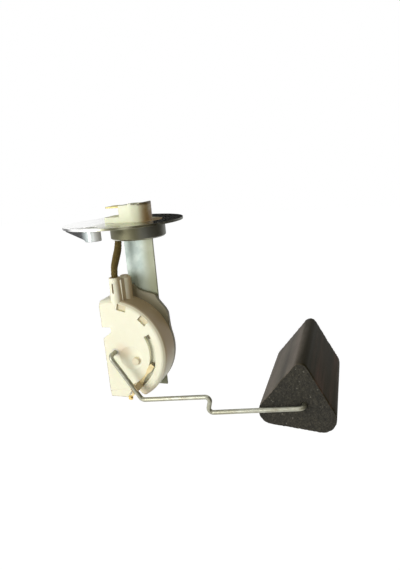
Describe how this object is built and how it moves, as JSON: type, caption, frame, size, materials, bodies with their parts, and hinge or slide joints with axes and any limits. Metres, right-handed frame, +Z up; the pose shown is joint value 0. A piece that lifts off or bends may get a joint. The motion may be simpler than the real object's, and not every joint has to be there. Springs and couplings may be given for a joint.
{
  "type": "fuel level sender",
  "caption": "Tank level sender: pressed flange with plug, strip bracket, slotted resistor housing, and a swinging wire arm that carries a foam float.",
  "frame": {"origin": "centre of the flange rim, on the flange's underside seat face", "axes": "+Z up out of the tank along the flange axis, +X along the float arm, +Y away from the slotted face"},
  "size_m": [0.1464, 0.0857, 0.1176],
  "materials": {
    "flange_steel": "zinc plated, satin",
    "plug_plastic": "moulded cream plastic",
    "seal_rubber": "matt",
    "blade_brass": "bright",
    "strip_zinc": "mottled zinc plate",
    "rivet_steel": "zinc plated",
    "base_plastic": "moulded cream plastic",
    "cover_plastic": "moulded cream plastic",
    "bush_plastic": "acetal",
    "card_ceramic": "greenish grey",
    "track_film": "printed film",
    "pad_silver": "silvered",
    "terminal_brass": "bright",
    "lead_sleeve": "woven brown sleeve",
    "core_copper": "tinned copper",
    "arm_steel": "drawn steel wire",
    "ring_steel": "spring steel",
    "leaf_brass": "bright",
    "carrier_plastic": "moulded",
    "contact_dark": "silver graphite",
    "tip_brass": "bright",
    "float_foam": "closed-cell foam, moulded skin, cut ends"
  },
  "bodies": {
    "head": {"mounting_flange": "flange_steel", "connector_body": "plug_plastic", "connector_seal": "seal_rubber", "signal_blade": "blade_brass", "ground_blade": "blade_brass", "bracket_strip": "strip_zinc", "bracket_rivets": "rivet_steel", "housing_base": "base_plastic", "housing_cover": "cover_plastic", "pivot_bush": "bush_plastic", "resistor_card": "card_ceramic", "resistor_track": "track_film", "track_pads": "pad_silver", "lead_terminal": "terminal_brass", "signal_lead": "lead_sleeve", "lead_core": "core_copper", "lead_grommet": "seal_rubber"},
    "arm": {"float_arm": "arm_steel", "arm_retainer": "ring_steel", "float_clip": "ring_steel", "wiper_leaf": "leaf_brass", "wiper_carrier": "carrier_plastic", "wiper_contact": "contact_dark", "tip_contact": "tip_brass"},
    "float": {"float_block": "float_foam"}
  },
  "joints": [
    {"name": "arm_swing", "type": "hinge", "parent": "head", "child": "arm", "pos_m": [-0.0062, 0, -0.0703], "axis": [0, -1, 0], "range_deg": [0, 40]},
    {"name": "float_swivel", "type": "hinge", "parent": "arm", "child": "float", "pos_m": [0.0977, 0, -0.092], "axis": [0, -1, 0], "continuous": true}
  ]
}
